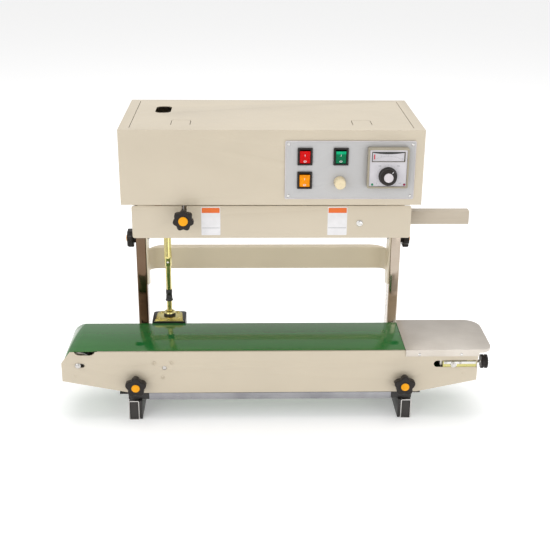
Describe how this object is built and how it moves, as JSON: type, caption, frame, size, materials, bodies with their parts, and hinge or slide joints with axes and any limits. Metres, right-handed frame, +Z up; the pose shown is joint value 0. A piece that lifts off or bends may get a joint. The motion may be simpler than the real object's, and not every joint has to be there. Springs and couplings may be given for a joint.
{
  "type": "continuous band sealer",
  "caption": "Tabletop continuous band sealer: box-shaped sealing head with control panel, clamped to two chrome posts above a green belt conveyor with a steel run-in table.",
  "frame": {"origin": "on the floor, under the middle of the machine's bounding box", "axes": "+X towards the table plate end (operator's right), +Y away from the operator, +Z up"},
  "size_m": [0.7986, 0.3552, 0.548],
  "materials": {
    "beige_paint": "semi-gloss",
    "chrome_tube": "polished",
    "black_paint": "satin",
    "black_plastic": "moulded",
    "green_belt": "glossy PVC-coated belt",
    "bright_steel": "satin",
    "zinc_yellow": "yellow zinc plated steel",
    "panel_grey": "satin",
    "red_lens": "gloss",
    "yellow_lens": "gloss",
    "green_lens": "gloss",
    "cream_plastic": "satin",
    "band_film": "coated glass cloth",
    "aluminium": "machined",
    "motor_grey": "painted casting",
    "rubber": "moulded"
  },
  "bodies": {
    "stand": {"left_foot_rail": "chrome_tube", "left_post": "chrome_tube", "left_front_plug": "black_plastic", "left_rear_plug": "black_plastic", "left_conveyor_bracket": "black_paint", "right_foot_rail": "chrome_tube", "right_post": "chrome_tube", "right_front_plug": "black_plastic", "right_rear_plug": "black_plastic", "right_conveyor_bracket": "black_paint", "base_crossbar": "bright_steel"},
    "conveyor": {"front_side_plate": "beige_paint", "rear_side_plate": "beige_paint", "belt_bed": "bright_steel", "conveyor_belt": "green_belt", "table_plate": "bright_steel", "gear_housing": "black_paint"},
    "head": {"head_cover": "beige_paint", "deck_plate": "beige_paint", "front_guard": "beige_paint", "rear_guard": "beige_paint", "support_frame": "beige_paint", "control_panel": "panel_grey", "red_switch_housing": "black_plastic", "yellow_switch_housing": "black_plastic", "green_switch_housing": "black_plastic", "temperature_controller": "cream_plastic", "gear_motor": "motor_grey", "front_heater": "aluminium", "rear_heater": "aluminium", "front_cooler": "aluminium", "rear_cooler": "aluminium", "front_band": "band_film", "rear_band": "band_film", "feed_guide": "beige_paint", "cord_gland": "black_plastic"},
    "left_conveyor_knob": {"left_conveyor_knob": "black_plastic"},
    "right_conveyor_knob": {"right_conveyor_knob": "black_plastic"},
    "left_clamp_knob": {"left_clamp_knob": "black_plastic"},
    "right_clamp_knob": {"right_clamp_knob": "black_plastic"},
    "pressure_knob": {"pressure_knob": "black_plastic"},
    "red_rocker": {"red_rocker": "red_lens"},
    "yellow_rocker": {"yellow_rocker": "yellow_lens"},
    "green_rocker": {"green_rocker": "green_lens"},
    "speed_knob": {"speed_knob": "cream_plastic"},
    "temperature_dial": {"temperature_dial": "black_plastic"},
    "meter_needle": {"meter_needle": "black_plastic"},
    "front_drive_wheel": {"front_drive_wheel": "rubber"},
    "rear_drive_wheel": {"rear_drive_wheel": "rubber"},
    "front_idler_wheel": {"front_idler_wheel": "aluminium"},
    "rear_idler_wheel": {"rear_idler_wheel": "aluminium"},
    "embossing_wheel": {"embossing_wheel": "bright_steel"},
    "press_wheel": {"press_wheel": "rubber"},
    "drive_sleeve": {"drive_sleeve": "zinc_yellow"},
    "lower_drive_shaft": {"lower_drive_shaft": "zinc_yellow"},
    "drive_roller": {"drive_roller": "bright_steel"},
    "end_roller": {"end_roller": "bright_steel"},
    "tension_roller": {"tension_roller": "bright_steel"},
    "tension_block": {"tension_block": "zinc_yellow"},
    "tension_knob": {"tension_knob": "black_plastic"}
  },
  "joints": [
    {"name": "head_height", "type": "slide", "parent": "stand", "child": "head", "axis": [0, 0, 1], "range_m": [-0.035, 0.045]},
    {"name": "conveyor_height", "type": "slide", "parent": "stand", "child": "conveyor", "axis": [0, 0, 1], "range_m": [0, 0.012]},
    {"name": "left_conveyor_knob_turn", "type": "hinge", "parent": "stand", "child": "left_conveyor_knob", "pos_m": [-0.26225, -0.15245, 0.075], "axis": [0, 1, 0], "range_deg": [-720, 0]},
    {"name": "right_conveyor_knob_turn", "type": "hinge", "parent": "stand", "child": "right_conveyor_knob", "pos_m": [0.23675, -0.15245, 0.075], "axis": [0, 1, 0], "range_deg": [-720, 0]},
    {"name": "left_clamp_knob_turn", "type": "hinge", "parent": "head", "child": "left_clamp_knob", "pos_m": [-0.27675, 0.06955, 0.283], "axis": [1, 0, 0], "range_deg": [-720, 0]},
    {"name": "right_clamp_knob_turn", "type": "hinge", "parent": "head", "child": "right_clamp_knob", "pos_m": [0.25125, 0.06955, 0.283], "axis": [1, 0, 0], "range_deg": [-720, 0]},
    {"name": "pressure_knob_turn", "type": "hinge", "parent": "head", "child": "pressure_knob", "pos_m": [-0.16825, -0.13245, 0.3925], "axis": [0, 1, 0], "range_deg": [-720, 720]},
    {"name": "red_rocker_press", "type": "hinge", "parent": "head", "child": "red_rocker", "pos_m": [0.04465, -0.12305, 0.5018], "axis": [1, 0, 0], "range_deg": [-16, 0]},
    {"name": "yellow_rocker_press", "type": "hinge", "parent": "head", "child": "yellow_rocker", "pos_m": [0.04465, -0.12305, 0.4592], "axis": [1, 0, 0], "range_deg": [-16, 0]},
    {"name": "green_rocker_press", "type": "hinge", "parent": "head", "child": "green_rocker", "pos_m": [0.10735, -0.12305, 0.5018], "axis": [1, 0, 0], "range_deg": [-16, 0]},
    {"name": "speed_knob_turn", "type": "hinge", "parent": "head", "child": "speed_knob", "pos_m": [0.10645, -0.12455, 0.456], "axis": [0, 1, 0], "range_deg": [0, 270]},
    {"name": "temperature_dial_turn", "type": "hinge", "parent": "head", "child": "temperature_dial", "pos_m": [0.18945, -0.13445, 0.4695], "axis": [0, 1, 0], "range_deg": [-240, 60]},
    {"name": "meter_needle_swing", "type": "hinge", "parent": "head", "child": "meter_needle", "pos_m": [0.18945, -0.12995, 0.488], "axis": [0, 1, 0], "range_deg": [0, 70], "stiffness_Nm_per_rad": 0.0004},
    {"name": "drive_roller_spin", "type": "hinge", "parent": "conveyor", "child": "drive_roller", "pos_m": [-0.20975, -0.08595, 0.1064], "axis": [0, 1, 0], "continuous": true},
    {"name": "end_roller_spin", "type": "hinge", "parent": "conveyor", "child": "end_roller", "pos_m": [-0.36875, -0.08595, 0.1118], "axis": [0, 1, 0], "continuous": true},
    {"name": "belt_tension", "type": "slide", "parent": "conveyor", "child": "tension_block", "axis": [1, 0, 0], "range_m": [-0.008, 0]},
    {"name": "tension_roller_spin", "type": "hinge", "parent": "tension_block", "child": "tension_roller", "pos_m": [0.32825, -0.08595, 0.1118], "axis": [0, 1, 0], "continuous": true},
    {"name": "tension_knob_turn", "type": "hinge", "parent": "conveyor", "child": "tension_knob", "pos_m": [0.38125, -0.14145, 0.1118], "axis": [1, 0, 0], "range_deg": [-2304, 0]},
    {"name": "lower_shaft_spin", "type": "hinge", "parent": "conveyor", "child": "lower_drive_shaft", "pos_m": [-0.20975, 0.01055, 0.174], "axis": [0, 0, 1], "continuous": true},
    {"name": "drive_sleeve_spin", "type": "hinge", "parent": "head", "child": "drive_sleeve", "pos_m": [-0.20975, 0.01055, 0.247], "axis": [0, 0, 1], "continuous": true},
    {"name": "front_drive_wheel_spin", "type": "hinge", "parent": "head", "child": "front_drive_wheel", "pos_m": [-0.21775, -0.09085, 0.364], "axis": [0, 0, 1], "continuous": true},
    {"name": "rear_drive_wheel_spin", "type": "hinge", "parent": "head", "child": "rear_drive_wheel", "pos_m": [-0.21775, -0.05005, 0.364], "axis": [0, 0, 1], "continuous": true},
    {"name": "front_idler_wheel_spin", "type": "hinge", "parent": "head", "child": "front_idler_wheel", "pos_m": [0.19225, -0.09085, 0.364], "axis": [0, 0, 1], "continuous": true},
    {"name": "rear_idler_wheel_spin", "type": "hinge", "parent": "head", "child": "rear_idler_wheel", "pos_m": [0.19225, -0.05005, 0.364], "axis": [0, 0, 1], "continuous": true},
    {"name": "embossing_wheel_spin", "type": "hinge", "parent": "head", "child": "embossing_wheel", "pos_m": [-0.16825, -0.08685, 0.364], "axis": [0, 0, 1], "continuous": true},
    {"name": "press_wheel_spin", "type": "hinge", "parent": "head", "child": "press_wheel", "pos_m": [-0.16825, -0.05405, 0.364], "axis": [0, 0, 1], "continuous": true}
  ],
  "couplings": [
    {"joint": "end_roller_spin", "follows": "drive_roller_spin", "ratio": 1.0664},
    {"joint": "tension_roller_spin", "follows": "drive_roller_spin", "ratio": 1.0664},
    {"joint": "lower_shaft_spin", "follows": "drive_roller_spin", "ratio": 1},
    {"joint": "drive_sleeve_spin", "follows": "drive_roller_spin", "ratio": 1},
    {"joint": "front_drive_wheel_spin", "follows": "drive_roller_spin", "ratio": -1.4072},
    {"joint": "rear_drive_wheel_spin", "follows": "drive_roller_spin", "ratio": 1.4072},
    {"joint": "front_idler_wheel_spin", "follows": "drive_roller_spin", "ratio": -1.4072},
    {"joint": "rear_idler_wheel_spin", "follows": "drive_roller_spin", "ratio": 1.4072},
    {"joint": "embossing_wheel_spin", "follows": "drive_roller_spin", "ratio": -1.7727},
    {"joint": "press_wheel_spin", "follows": "drive_roller_spin", "ratio": 1.7727},
    {"joint": "tension_knob_turn", "follows": "belt_tension", "rad_per_m": 5026.5}
  ]
}
